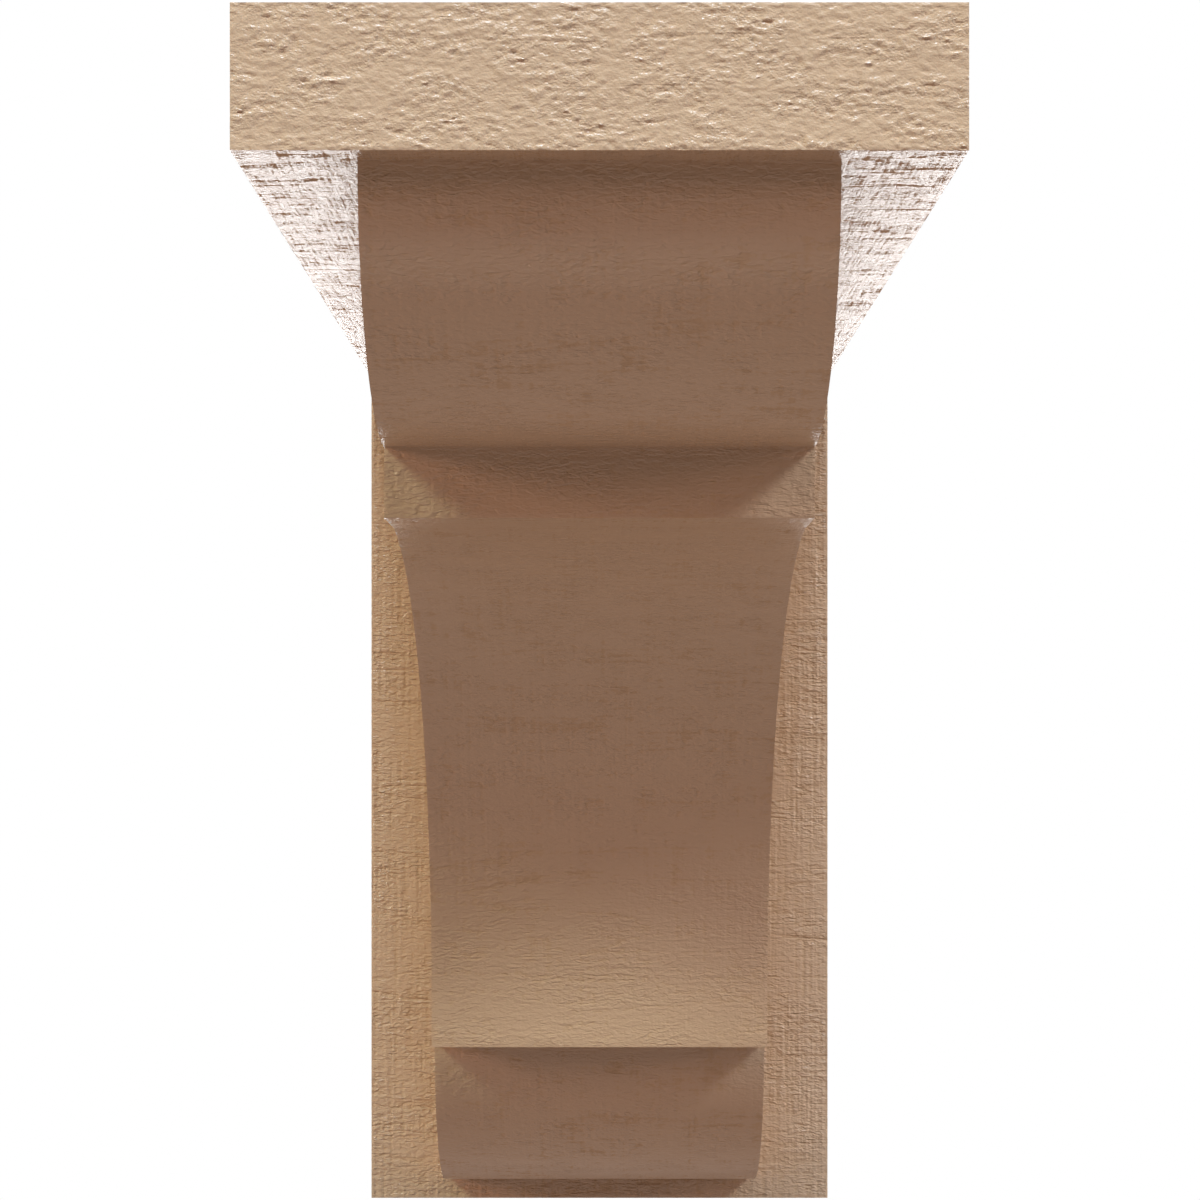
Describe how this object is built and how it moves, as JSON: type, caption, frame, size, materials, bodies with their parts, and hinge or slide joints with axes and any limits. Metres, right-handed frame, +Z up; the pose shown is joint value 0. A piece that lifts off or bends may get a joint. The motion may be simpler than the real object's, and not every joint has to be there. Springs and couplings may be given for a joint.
{
  "type": "urethane corbel",
  "caption": "Moulded urethane corbel with rough-sawn timber texture: cap slab over a back board, and a narrower bracket with ovolo, fillet, cove, fascia and toe.",
  "frame": {"origin": "centre of the flat back of the board, where it is fixed to the wall", "axes": "+Y into the wall, +Z up, +X across; the front faces -Y"},
  "size_m": [0.1524, 0.3048, 0.3048],
  "materials": {
    "sawn_urethane": "tan factory-primed rigid urethane, cast with the relief of rough-sawn timber: raised level grain, saw lines and small torn pits, with a low satin sheen"
  },
  "bodies": {
    "root": {"corbel": "sawn_urethane"}
  },
  "joints": []
}
